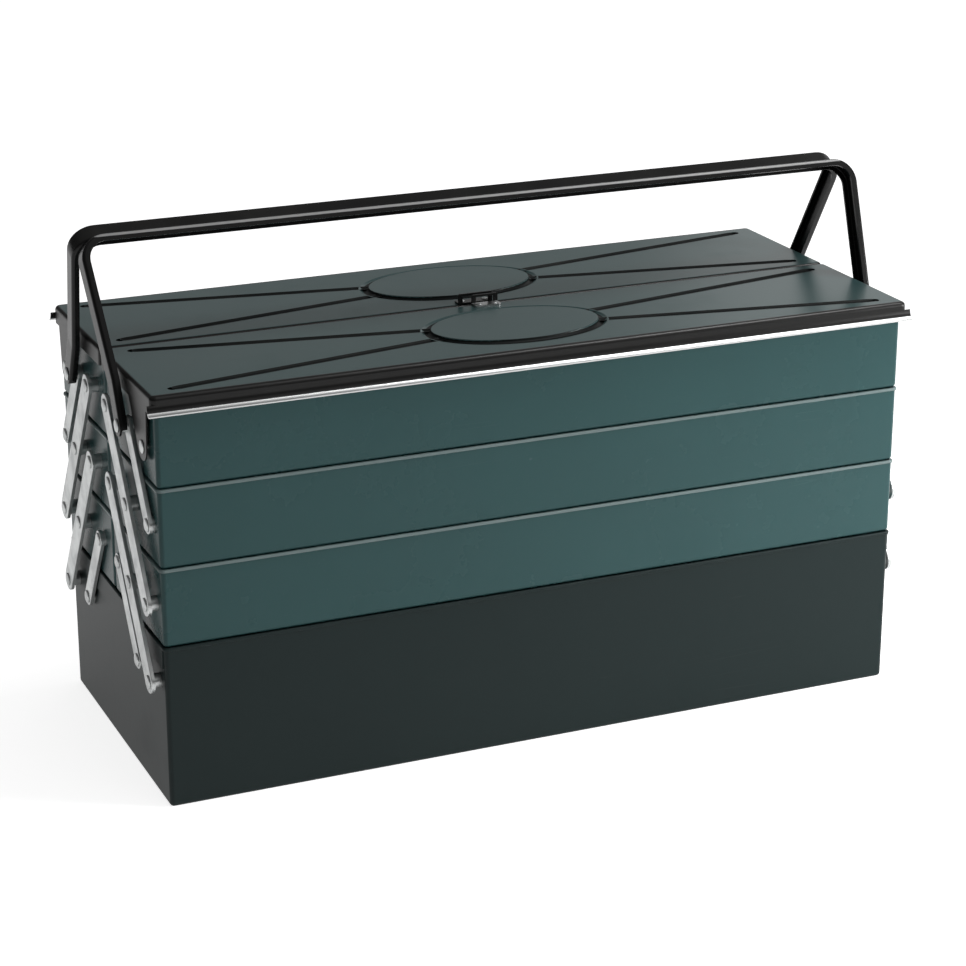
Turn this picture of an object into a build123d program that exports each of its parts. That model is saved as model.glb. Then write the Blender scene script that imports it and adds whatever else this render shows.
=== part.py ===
from build123d import *
from math import asin, atan2, cos, degrees, hypot, radians, sin
import os

# Cantilever toolbox in sheet steel: a bottom tray, three tiers of paired trays that
# swing outwards and upwards on link bars, two lids and two carrying bows.
# Millimetres. X runs along the box, Y from front to rear, Z up. The origin is the
# centre of the underside. Front pieces are built, rear ones are their mirror image.

# Box and trays
box_length = 530.0
box_width = 220.0
bottom_tray_height = 111.0
tray_pitch = 53.0            # from rim to rim of the stacked trays
tier_count = 3
sheet = 1.0
inside_corner = 2.0          # inside radius of the upright folds
inside_bend = 1.5            # inside radius of the folds along the floor
seat_gap = 0.3               # between a floor and the rim that it rests on
centre_gap = 1.5             # between the front and the rear row of trays
rim_proud = 1.0              # rolled rim, beyond the wall
rim_height = 2.4
end_hem_depth = 15.0         # fold-over along the bottom tray's ends
end_hem_thickness = 1.0

# Link bars and their pivots
pivot_inset = 13.7           # first pivot column, from the outer wall
pivot_drop = 26.7            # first pivot column, below the rim
link_run = 36.8              # from one pivot to the next, across the box
link_rise = 55.0             # from one pivot to the next, upwards
link_thickness = 2.5
long_link_width = 15.5
short_link_width = 12.0
link_edge_round = 0.5
washer_thickness = 1.5       # between the end wall and a short link
layer_gap = 1.0              # between the short links and the long ones
play = 0.1                   # side play of a link between its washer and rivet head
running_fit = 0.1            # round a rivet shank

# Rivets and spacers
rivet_radius = 2.5
head_radius = 4.5
head_height = 1.4
closing_head_radius = 4.0
closing_head_height = 1.0
spacer_wall = 2.4

# Lids
lid_overhang = 3.0           # outer face of the skirt, beyond the walls
lid_lift = 7.5               # underside of the lid, above the top tray's rim
skirt_depth = 12.2
lip_reach = 4.0              # flared edge along the outer skirt
lip_end_reach = 2.5          # the same, past the lid's ends
lip_turn = 70.0              # how far the flare turns outwards, from upright
lip_relief = 0.5             # cut back of the skirt's corners, behind the flare
lid_edge_inside = 2.0
lid_corner_inside = 3.0
lid_centre_gap = 0.6         # between the two lids
hinge_inset = 20.0           # lid rivet, from the outer wall
hinge_drop = 30.0            # lid rivet, below the rim
lug_radius = 9.0
lug_top_front = 8.5          # lug's root, from the outer wall
lug_top_width = 38.5
lid_head_height = 1.2

# Pressings in the lids
oval_length = 118.0
oval_width = 72.0
oval_rise = 1.2
bead_width = 6.0
bead_depth = 1.2
bead_floor = 0.7             # sheet thinned by pressing, under a bead
bead_start = (54.0, 10.0)    # from the lid's middle, along and across
bead_end = (250.0, 43.5)

# Padlock eyes
eye_sheet = 1.2
eye_foot = 8.0
eye_edge = 1.5               # bar over the window
eye_post = 3.0               # on each side of the window
rear_eye_width = 25.0
front_eye_width = 19.0
rear_eye_height = 7.5
front_eye_height = 7.0
rear_eye_shift = -3.5        # from the box's middle, along it
front_eye_shift = 1.5
eye_setback = 1.2            # from the lid's centre edge
eye_rivet_radius = 1.25
eye_head_radius = 2.2
eye_head_height = 0.9
eye_rivet_edge = 4.0         # rivet, from the end of the foot

# Carrying bows
bow_length = 119.0           # from its rivet to the middle of the grip
bow_width = 14.0
bow_depth = 5.0
bow_sheet = 1.5
bow_round = 2.2
bow_corner = 14.0
bow_splay = 7.0              # the grip's corners stand this much further out than the feet
bow_straight = 28.0          # straight foot, above the rivet
bow_joggle = 60.0
grip_gap = 0.6               # between the two grips, closed

# Worked out from the sizes above
half_length = box_length / 2
half_width = box_width / 2
tray_depth = half_width - centre_gap / 2
short_link_offset = washer_thickness
long_link_offset = washer_thickness + link_thickness + layer_gap
hole_radius = rivet_radius + running_fit
spacer_radius = hole_radius + spacer_wall
bow_web_inside = long_link_offset + bow_depth - bow_sheet

LEFT, RIGHT = -1, 1
ENDS = {"left": LEFT, "right": RIGHT}

# Each link: its first pivot column, the tier it starts on, and how many tiers it spans
LINKS = {
    "lower_long_link": (0, 0, 2),
    "upper_long_link": (0, 1, 2),
    "lower_short_link": (1, 0, 1),
    "upper_short_link": (0, 2, 1),
}
TRAYS = {1: "lower_tray", 2: "middle_tray", 3: "top_tray"}
BOW_COLUMN = 1               # the bow shares this pivot on the top tray


def rim_height_of(tier):
    """Height of a tier's rim; tier 0 is the bottom tray."""
    return bottom_tray_height + tier * tray_pitch


def pivot(column, tier):
    """Y and Z of a pivot on the front side."""
    y = -(half_width - pivot_inset - column * link_run)
    if column == 0 or tier == 0:
        return y, rim_height_of(tier) - pivot_drop
    return y, pivot(column - 1, tier - 1)[1] + link_rise


def hinge_pivot():
    """Y and Z of the front lid's rivet."""
    return -(half_width - hinge_inset), rim_height_of(tier_count) - hinge_drop


def link_pivots(name):
    """The tiers and pivot points that a link joins."""
    column, tier, span = LINKS[name]
    return [(tier + step, pivot(column + step, tier + step)) for step in range(span + 1)]


def pins_of(tier):
    """Every link pivot on a tier, as (kind, y, z)."""
    pins = []
    for name in LINKS:
        for at_tier, (y, z) in link_pivots(name):
            if at_tier == tier:
                kind = "long" if "long" in name else "short"
                if tier == tier_count and (y, z) == pivot(BOW_COLUMN, tier):
                    kind = "bow"
                pins.append((kind, y, z))
    return pins


def across(end, offset, y, z):
    """Location at an end of the box whose Z axis points outwards along X."""
    origin = (end * (half_length + offset), y, z)
    return Location(Plane(origin=origin, x_dir=(0, 1, 0), z_dir=(end, 0, 0)))


def disc(end, start, stop, y, z, radius):
    """Cylinder square to an end wall, between two distances outwards from its face."""
    bar = Cylinder(radius, stop - start, align=(Align.CENTER, Align.CENTER, Align.MIN))
    return across(end, start, y, z) * bar


def drill_ends(piece, holes, radius, reach=3 * sheet):
    """Drill the same holes through both end walls of a piece."""
    for y, z in holes:
        for end in ENDS.values():
            piece -= disc(end, -reach, reach, y, z, radius)
    return piece


def rear_of(piece):
    """The rear twin of a front piece."""
    return mirror(piece, about=Plane.XZ)


def folded_box(length, depth, height, corner, bend):
    """Solid block with rounded upright corners and rounded floor edges, floor at Z 0."""
    block = Box(length, depth, height, align=(Align.CENTER, Align.CENTER, Align.MIN))
    block = fillet(block.edges().filter_by(Axis.Z), corner)
    return fillet(block.faces().sort_by(Axis.Z)[0].edges(), bend)


def tray_body(depth, height):
    """Open sheet tray with its floor at Z 0, centred in X and Y, without its rim."""
    outer = folded_box(box_length, depth, height, inside_corner + sheet, inside_bend + sheet)
    hollow = folded_box(
        box_length - 2 * sheet, depth - 2 * sheet, height, inside_corner, inside_bend
    )
    return outer - Pos(0, 0, sheet) * hollow


def rim_roll(depth, height, sides):
    """Rolled rim round a tray: 3 sides leave the centre side plain, 4 go all round."""
    reach = depth + rim_proud * (sides - 2)
    shift = 0 if sides == 4 else -rim_proud / 2
    slab = Box(
        box_length + 2 * rim_proud, reach, rim_height, align=(Align.CENTER, Align.CENTER, Align.MIN)
    )
    rounded = slab.edges().filter_by(Axis.Z).sort_by(Axis.Y)
    if sides == 3:
        rounded = rounded[:2]
    slab = fillet(rounded, inside_corner + sheet + rim_proud)
    plain_side = reach / 2 - rim_proud / 10
    edges = [
        edge
        for edge in slab.edges().filter_by(Axis.Z, reverse=True)
        if sides == 4 or edge.center().Y < plain_side
    ]
    roll = min(rim_proud, rim_height / 2) * 0.9
    slab = fillet(edges, roll)
    opening = Box(
        box_length - 2 * sheet, depth - 2 * sheet, 3 * rim_height, align=Align.CENTER
    )
    opening = fillet(opening.edges().filter_by(Axis.Z), inside_corner)
    return Pos(0, 0, height - rim_height) * (Pos(0, shift, 0) * slab - opening)


def bottom_tray():
    """Deep tray that carries everything, with a fold-over along the top of its ends."""
    body = tray_body(box_width, bottom_tray_height) + rim_roll(box_width, bottom_tray_height, 4)
    hem = Box(
        end_hem_thickness,
        box_width - 2 * (inside_corner + sheet),
        end_hem_depth - rim_height / 2,
        align=(Align.CENTER, Align.CENTER, Align.MIN),
    )
    for end in ENDS.values():
        x = end * (half_length + end_hem_thickness / 2)
        body += Pos(x, 0, bottom_tray_height - end_hem_depth) * hem
    front = [(y, z) for _, y, z in pins_of(0)]
    return drill_ends(body, front + [(-y, z) for y, z in front], rivet_radius)


def upper_tray(tier):
    """Front tray of a tier, resting on the rim below it."""
    height = tray_pitch - seat_gap
    body = tray_body(tray_depth, height) + rim_roll(tray_depth, height, 3)
    middle = -(centre_gap + tray_depth) / 2
    body = Pos(0, middle, rim_height_of(tier) - height) * body
    holes = [(y, z) for _, y, z in pins_of(tier)]
    if tier == tier_count:
        holes.append(hinge_pivot())
    return drill_ends(body, holes, rivet_radius)


def link_bar(name, end):
    """Flat bar with rounded ends and a hole at each pivot."""
    points = [point for _, point in link_pivots(name)]
    long_link = "long" in name
    width = long_link_width if long_link else short_link_width
    offset = long_link_offset if long_link else short_link_offset
    span = (len(points) - 1) * hypot(link_run, link_rise)
    bar = extrude(SlotCenterToCenter(span, width), link_thickness)
    bar = fillet(bar.faces().sort_by(Axis.Z)[-1].edges(), link_edge_round)
    holes = [Pos((step / (len(points) - 1) - 0.5) * span, 0) for step in range(len(points))]
    for place in holes:
        bar -= place * Cylinder(hole_radius, 3 * link_thickness)
    lean = end * degrees(atan2(link_rise, link_run))
    middle_y = (points[0][0] + points[-1][0]) / 2
    middle_z = (points[0][1] + points[-1][1]) / 2
    return across(end, offset, middle_y, middle_z) * (Rot(0, 0, lean) * bar)


def stack_height(kind):
    """Outer face of what a rivet holds, from the end wall."""
    if kind == "bow":
        return long_link_offset + bow_depth
    offset = long_link_offset if kind == "long" else short_link_offset
    return offset + link_thickness


def rivet(end, y, z, grip, radius=rivet_radius, head=head_radius, height=head_height):
    """Rivet through an end wall with a head outside and a closing head inside."""
    shank = disc(end, -sheet, grip + play, y, z, radius)
    outer_head = disc(end, grip + play, grip + play + height, y, z, head)
    closing = disc(end, -sheet - closing_head_height, -sheet, y, z, closing_head_radius)
    return shank + outer_head + closing


def rivets_of(tier):
    """Link rivets of a front tray, or of the bottom tray's front half."""
    return [
        rivet(end, y, z, stack_height(kind)) for kind, y, z in pins_of(tier) for end in ENDS.values()
    ]


def ring(end, start, stop, y, z):
    """Spacer tube round a rivet."""
    return disc(end, start, stop, y, z, spacer_radius) - disc(
        end, start - 1, stop + 1, y, z, hole_radius
    )


def spacers_of(tier):
    """Washers and spacer tubes that hold the links off a tray's end walls."""
    pieces = []
    for kind, y, z in pins_of(tier):
        for end in ENDS.values():
            offset = long_link_offset if kind == "long" else short_link_offset
            pieces.append(ring(end, 0, offset - play, y, z))
            if kind == "bow":
                start = short_link_offset + link_thickness + play
                pieces.append(ring(end, start, bow_web_inside - play, y, z))
    return pieces


def lid_middle():
    """Y of the middle of the front lid."""
    return -(half_width + lid_overhang + lid_centre_gap / 2) / 2


def lid_top():
    """Height of the lids' upper face."""
    return rim_height_of(tier_count) + lid_lift + sheet


def lid_pan():
    """Front lid's pressed pan, open downwards, with a short flange on its centre edge."""
    length = box_length + 2 * lid_overhang
    depth = half_width + lid_overhang - lid_centre_gap / 2
    outer = folded_box(
        length, depth, skirt_depth, lid_corner_inside + sheet, lid_edge_inside + sheet
    )
    hollow = folded_box(
        length - 2 * sheet, depth - 2 * sheet, skirt_depth, lid_corner_inside, lid_edge_inside
    )
    pan = outer - Pos(0, 0, sheet) * hollow
    flange_depth = lid_lift + sheet - seat_gap
    below_flange = Box(
        length - 2 * (lid_overhang + sheet) + 2 * lid_corner_inside,
        4 * sheet,
        skirt_depth,
        align=(Align.CENTER, Align.CENTER, Align.MIN),
    )
    pan -= Pos(0, -depth / 2, flange_depth) * below_flange
    below_skirt = Box(2 * length, 4 * sheet, skirt_depth, align=(Align.CENTER, Align.MIN, Align.MIN))
    pan -= Pos(0, depth / 2 - sheet - lip_relief, skirt_depth - lip_rise()) * below_skirt
    return Pos(0, lid_middle(), lid_top()) * (Rot(180, 0, 0) * pan)


def lip_radius():
    """Radius of the flared edge's outer face."""
    return lip_reach / (1 - cos(radians(lip_turn)))


def lip_rise():
    """Height of the flared edge, from its tip to where the skirt turns outwards."""
    return (lip_radius() + sheet) * sin(radians(lip_turn))


def lid_lip():
    """Edge along the foot of the outer skirt that curves outwards."""
    middle = (-lip_radius(), lip_rise())
    outer = CenterArc(middle, lip_radius(), -lip_turn, lip_turn)
    inner = CenterArc(middle, lip_radius() + sheet, -lip_turn, lip_turn)
    outline = [outer, inner, Line(outer @ 0, inner @ 0), Line(outer @ 1, inner @ 1)]
    skirt_foot = (0, -(half_width + lid_overhang), lid_top() - skirt_depth)
    section = Plane(origin=skirt_foot, x_dir=(0, 1, 0), z_dir=(1, 0, 0)) * make_face(outline)
    return extrude(section, half_length + lid_overhang + lip_end_reach, both=True)


def lid_lug(end):
    """Hinge lug that hangs from the end of a lid."""
    y, z = hinge_pivot()
    root = lid_top() - skirt_depth + 2 * sheet - z
    front = -(half_width - lug_top_front) - y
    outline = make_hull(
        [
            Edge.make_circle(lug_radius),
            Edge.make_line((front, root), (front + lug_top_width, root)),
        ]
    )
    plate = extrude(outline, sheet)
    if end == LEFT:
        plate = mirror(plate, about=Plane.XZ)
    return across(end, lid_overhang - sheet, y, z) * plate


def oval(grow=0.0):
    """Outline of the pressed oval."""
    return Ellipse(oval_length / 2 + grow, oval_width / 2 + grow)


def bead_sketch(width):
    """Outline of the pressed bead: a ring round the oval and four straight arms."""
    ring_outline = oval(bead_width / 2 + width / 2) - oval(bead_width / 2 - width / 2)
    reach = hypot(bead_end[0] - bead_start[0], bead_end[1] - bead_start[1])
    lean = degrees(atan2(bead_end[1] - bead_start[1], bead_end[0] - bead_start[0]))
    middle = [(a + b) / 2 for a, b in zip(bead_start, bead_end)]
    arms = []
    for side in (-1, 1):
        for half in (-1, 1):
            arm = Rot(0, 0, side * half * lean) * SlotCenterToCenter(reach, width)
            arms.append(Pos(side * middle[0], half * middle[1]) * arm)
    inside = oval(bead_width / 2 - width / 2)
    return Sketch() + [ring_outline] + [arm - inside for arm in arms]


def press_lid(pan):
    """Press the oval and the beads into a lid's top."""
    face = Pos(0, lid_middle(), lid_top())
    ribs = face * Pos(0, 0, -bead_floor - bead_depth) * extrude(
        bead_sketch(bead_width + 2 * sheet), bead_depth + bead_floor - sheet / 2
    )
    groove = face * Pos(0, 0, -bead_depth) * extrude(bead_sketch(bead_width), bead_depth + sheet)
    panel = face * Pos(0, 0, -sheet / 2) * extrude(oval(), sheet / 2 + oval_rise)
    panel = fillet(panel.faces().sort_by(Axis.Z)[-1].edges(), sheet / 2)
    dish = face * Pos(0, 0, -2 * sheet) * extrude(oval(-sheet), sheet + oval_rise)
    return pan + ribs - groove + panel - dish


def eye_rivet_places(width, shift):
    """X of the two rivets in an eye's foot."""
    return [shift + side * (width / 2 - eye_rivet_edge) for side in (-1, 1)]


def lid(eye_width, eye_shift):
    """Front lid with its lugs, lip and pressings, drilled for its rivets."""
    body = lid_pan() + lid_lip() + [lid_lug(end) for end in ENDS.values()]
    body = press_lid(body)
    body = drill_ends(body, [hinge_pivot()], hole_radius, reach=3 * lid_overhang)
    for x in eye_rivet_places(eye_width, eye_shift):
        body -= Pos(x, eye_rivet_y(), lid_top()) * Cylinder(eye_rivet_radius, 6 * sheet)
    return body


def eye_face():
    """Y of the upright face of the front eye that looks to the centre."""
    return -(lid_centre_gap / 2 + eye_setback)


def eye_rivet_y():
    """Y of the front eye's rivets."""
    return eye_face() - eye_sheet - (eye_foot - eye_sheet) / 2


def padlock_eye(width, height, shift):
    """Angle bracket whose upright has a window for a padlock."""
    upright = Box(width, eye_sheet, height, align=(Align.CENTER, Align.MAX, Align.MIN))
    upright = fillet(upright.edges().filter_by(Axis.Y).sort_by(Axis.Z)[-2:], eye_edge)
    window = Box(width - 2 * eye_post, 4 * eye_sheet, height - eye_edge - eye_sheet)
    upright -= Pos(0, 0, (height - eye_edge + eye_sheet) / 2) * window
    foot = Box(width, eye_foot, eye_sheet, align=(Align.CENTER, Align.MAX, Align.MIN))
    foot = fillet(foot.edges().filter_by(Axis.Z).sort_by(Axis.Y)[:2], eye_edge)
    bracket = Pos(shift, eye_face(), lid_top()) * (upright + foot)
    for x in eye_rivet_places(width, shift):
        bracket -= Pos(x, eye_rivet_y(), lid_top()) * Cylinder(eye_rivet_radius, 6 * eye_sheet)
    return bracket


def eye_rivet(x):
    """Small rivet that holds an eye's foot to its lid."""
    grip = sheet + eye_sheet
    stand = (Align.CENTER, Align.CENTER, Align.MIN)
    shank = Cylinder(eye_rivet_radius, grip + 2 * eye_head_height, align=stand)
    top_head = Pos(0, 0, grip + eye_head_height) * Cylinder(
        eye_head_radius, eye_head_height, align=stand
    )
    lower_head = Cylinder(eye_head_radius, eye_head_height, align=stand)
    floor = lid_top() - sheet - eye_head_height
    return Pos(x, eye_rivet_y(), floor) * (shank + top_head + lower_head)


def bow_lean():
    """Lean of a closed bow from upright, so that the two grips meet at the centre."""
    reach = bow_length + bow_depth / 2
    half = bow_width / 2
    distance = -pivot(BOW_COLUMN, tier_count)[0] - grip_gap / 2
    return asin(distance / hypot(reach, half)) - atan2(half, reach)


def bow_section():
    """Channel section whose back is towards minus X."""
    outer = Rectangle(bow_depth, bow_width)
    outer = fillet(outer.vertices().sort_by(Axis.X)[:2], bow_round)
    inner = Pos(bow_sheet, 0) * Rectangle(bow_depth, bow_width - 2 * bow_sheet)
    inner = fillet(inner.vertices().sort_by(Axis.X)[:2], bow_round - bow_sheet)
    return outer - inner


def carrying_bow():
    """Front bow: a channel bent round two corners, with rounded feet and a rivet hole each."""
    foot_x = half_length + long_link_offset + bow_depth / 2
    grip_x = foot_x + bow_splay
    tip = bow_width / 2
    half = [(foot_x, -tip), (foot_x, bow_straight), (grip_x, bow_length)]
    route = [(-x, y) for x, y in half] + half[::-1]
    path = FilletPolyline(*route, radius=[bow_joggle, bow_corner, bow_corner, bow_joggle])
    start = Plane(origin=path @ 0, x_dir=(1, 0, 0), z_dir=path % 0)
    bow = sweep(start * bow_section(), path)
    for end in ENDS.values():
        place = Pos(end * foot_x, 0, 0) * Rot(0, 90, 0)
        below = (Align.CENTER, Align.MAX, Align.CENTER)
        corner = Box(2 * bow_width, 2 * tip, 3 * bow_depth, align=below)
        bow -= place * (corner - Cylinder(tip, 4 * bow_depth))
        bow -= place * Cylinder(hole_radius, 4 * bow_depth)
    y, z = pivot(BOW_COLUMN, tier_count)
    lean = bow_lean()
    stand = Plane(origin=(0, y, z), x_dir=(1, 0, 0), z_dir=(0, -cos(lean), sin(lean)))
    return Location(stand) * bow


def both_sides(name, front):
    """A front piece, or group of pieces, and its rear twin, under their names."""
    if isinstance(front, list):
        rear = Compound(children=[rear_of(piece) for piece in front])
        return {name + "_front": Compound(children=front), name + "_rear": rear}
    return {name + "_front": front, name + "_rear": rear_of(front)}


def all_nodes():
    """Every node of the toolbox by name."""
    nodes = {"bottom_tray": bottom_tray()}
    base_rivets = rivets_of(0)
    base_spacers = spacers_of(0)
    nodes["bottom_tray_rivets"] = Compound(
        children=base_rivets + [rear_of(piece) for piece in base_rivets]
    )
    nodes["bottom_tray_spacers"] = Compound(
        children=base_spacers + [rear_of(piece) for piece in base_spacers]
    )
    for tier, name in TRAYS.items():
        nodes.update(both_sides(name, upper_tray(tier)))
        nodes.update(both_sides(name + "_rivets", rivets_of(tier)))
        nodes.update(both_sides(name + "_spacers", spacers_of(tier)))
    for name in LINKS:
        for end_name, end in ENDS.items():
            nodes.update(both_sides(f"{name}_{end_name}", link_bar(name, end)))
    lid_rivets = [
        rivet(end, *hinge_pivot(), lid_overhang, height=lid_head_height) for end in ENDS.values()
    ]
    nodes.update(both_sides("lid_rivets", lid_rivets))
    nodes["lid_front"] = lid(front_eye_width, front_eye_shift)
    nodes["lid_rear"] = rear_of(lid(rear_eye_width, rear_eye_shift))
    front_eye = padlock_eye(front_eye_width, front_eye_height, front_eye_shift)
    rear_eye = padlock_eye(rear_eye_width, rear_eye_height, rear_eye_shift)
    nodes["padlock_eye_front"] = front_eye
    nodes["padlock_eye_rear"] = rear_of(rear_eye)
    front_pair = [eye_rivet(x) for x in eye_rivet_places(front_eye_width, front_eye_shift)]
    rear_pair = [eye_rivet(x) for x in eye_rivet_places(rear_eye_width, rear_eye_shift)]
    nodes["padlock_eye_rivets_front"] = Compound(children=front_pair)
    nodes["padlock_eye_rivets_rear"] = Compound(children=[rear_of(piece) for piece in rear_pair])
    nodes.update(both_sides("carrying_bow", carrying_bow()))
    return nodes


if __name__ == "__main__":
    os.makedirs("parts", exist_ok=True)
    for node_name, shape in all_nodes().items():
        export_step(shape, f"parts/{node_name}.step")
    swing = 2 * degrees(atan2(link_run, link_rise))
    print(f"trays swing {swing:.2f} degrees, bows lean {degrees(bow_lean()):.2f} degrees")
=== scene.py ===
"""Dress the cantilever toolbox: enamel, zinc plate, pressed beads and domed rivets.

Lengths are in metres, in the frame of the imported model. X runs along the box, Y from front to
rear and Z upwards.
"""
import logging
from dataclasses import dataclass, field
from enum import Enum
from math import atan2, cos, hypot, pi, radians, sin
from typing import ClassVar, Iterator, Mapping, Sequence, Union

import bmesh
import bpy
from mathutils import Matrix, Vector


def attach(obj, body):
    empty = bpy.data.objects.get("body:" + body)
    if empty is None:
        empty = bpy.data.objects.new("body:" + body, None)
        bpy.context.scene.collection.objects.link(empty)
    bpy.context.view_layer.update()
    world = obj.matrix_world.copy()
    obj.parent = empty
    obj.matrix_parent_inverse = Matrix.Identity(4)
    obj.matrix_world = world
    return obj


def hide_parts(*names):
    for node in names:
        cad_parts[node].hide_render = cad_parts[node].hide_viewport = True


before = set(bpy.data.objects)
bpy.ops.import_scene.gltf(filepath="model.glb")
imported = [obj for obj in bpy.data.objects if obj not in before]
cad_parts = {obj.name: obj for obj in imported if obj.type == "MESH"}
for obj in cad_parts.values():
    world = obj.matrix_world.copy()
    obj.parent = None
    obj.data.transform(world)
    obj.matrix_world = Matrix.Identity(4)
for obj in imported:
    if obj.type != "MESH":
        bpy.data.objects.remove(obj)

log = logging.getLogger("toolbox")

MM = 0.001
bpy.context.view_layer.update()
MERGE_DISTANCE = 1e-6
FRONT, REAR = "front", "rear"
TIERS = ("lower", "middle", "top")

Number = Union[float, "Signal"]
Colour = tuple[float, float, float]
Point = tuple[float, float, float]
Outline = list[tuple[float, float]]


class Pattern(Enum):
    """Which way a fine pattern runs on a surface."""

    EVEN = "even"
    ALONG_BOX = "along the box"
    ALONG_FRONT_LINKS = "along the front link bars"
    ALONG_REAR_LINKS = "along the rear link bars"


class Paint(Enum):
    """Which parts of a painted piece take the second colour."""

    ONE_COLOUR = "one colour"
    # Dark below the lid's top: the skirt's own black paint, carried on as painted shade over the
    # top edge's rounding; bright along the lip: a painted highlight.
    LID = "dark below the lid's top, bright along its lip"
    # Painted shade along the lid's outer edge.
    LID_TOP = "dark along the lid's front edge"
    # Painted highlight on the foot, in a bright bare-steel colour.
    EYE = "bare on the foot"
    # Painted highlight, in a lighter colour, on the rolled rim.
    TRAY = "rubbed thin on the rolled rim"
    # Painted highlight, in a lighter colour, on the grip's outer corner.
    BOW = "rubbed thin on the grip's outer corner"


class NodeGraph:
    """A node tree that grows by one call for each node."""

    def __init__(self, tree: bpy.types.NodeTree) -> None:
        """Wrap a node tree.

        Args:
            tree: the tree that the nodes go into.
        """
        self.tree = tree

    def node(
        self,
        kind: str,
        inputs: Mapping[Union[str, int], object] | None = None,
        **settings: object,
    ) -> bpy.types.Node:
        """Add a node.

        Args:
            kind: the node's type.
            inputs: a value, a socket or a Signal for each named or numbered socket.
            settings: the node's own properties, set before its sockets.

        Returns:
            The new node.
        """
        made = self.tree.nodes.new(kind)
        for name, value in settings.items():
            setattr(made, name, value)
        for name, value in (inputs or {}).items():
            self.feed(made.inputs[name], value)
        return made

    def feed(self, socket: bpy.types.NodeSocket, value: object) -> None:
        """Link a socket to another, or set its value.

        Args:
            socket: the input socket.
            value: a number, a sequence, an output socket or a Signal.
        """
        source = value.socket if isinstance(value, Signal) else value
        if isinstance(source, bpy.types.NodeSocket):
            self.tree.links.new(source, socket)
        elif isinstance(source, (tuple, list)) and socket.type == "RGBA":
            socket.default_value = (*source, 1.0)[:4]
        else:
            socket.default_value = source


class Signal:
    """A number that varies over a surface, for use in Python expressions."""

    def __init__(self, graph: NodeGraph, socket: bpy.types.NodeSocket) -> None:
        """Wrap an output socket.

        Args:
            graph: the graph that holds the socket.
            socket: the socket that gives the number.
        """
        self.graph = graph
        self.socket = socket

    def _math(self, operation: str, *operands: Number) -> "Signal":
        """Add a Math node and return its result."""
        inputs = dict(enumerate(operands))
        made = self.graph.node("ShaderNodeMath", inputs, operation=operation)
        return Signal(self.graph, made.outputs[0])

    def __add__(self, other: Number) -> "Signal":
        """Return self + other."""
        return self._math("ADD", self, other)

    __radd__ = __add__

    def __sub__(self, other: Number) -> "Signal":
        """Return self - other."""
        return self._math("SUBTRACT", self, other)

    def __rsub__(self, other: Number) -> "Signal":
        """Return other - self."""
        return self._math("SUBTRACT", other, self)

    def __mul__(self, other: Number) -> "Signal":
        """Return self * other."""
        return self._math("MULTIPLY", self, other)

    def __abs__(self) -> "Signal":
        """Return the distance from zero."""
        return self._math("ABSOLUTE", self)

    def highest(self, other: Number) -> "Signal":
        """Return the higher of the two."""
        return self._math("MAXIMUM", self, other)

    def ramp(self, low: float, high: float) -> "Signal":
        """Return a smooth step.

        Args:
            low: where the result is 0.
            high: where the result is 1; it may be under low.

        Returns:
            A number from 0 to 1.
        """
        inputs = {0: self, 1: low, 2: high, 3: 0.0, 4: 1.0}
        made = self.graph.node("ShaderNodeMapRange", inputs, interpolation_type="SMOOTHSTEP")
        return Signal(self.graph, made.outputs[0])


@dataclass(frozen=True)
class Clouds:
    """Cloudy noise: clouds in a metre, octaves, strength of the finer ones and smooth step."""

    scale: float
    detail: float = 2.0
    rough: float = 0.5
    step: tuple[float, float] | None = None


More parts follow.
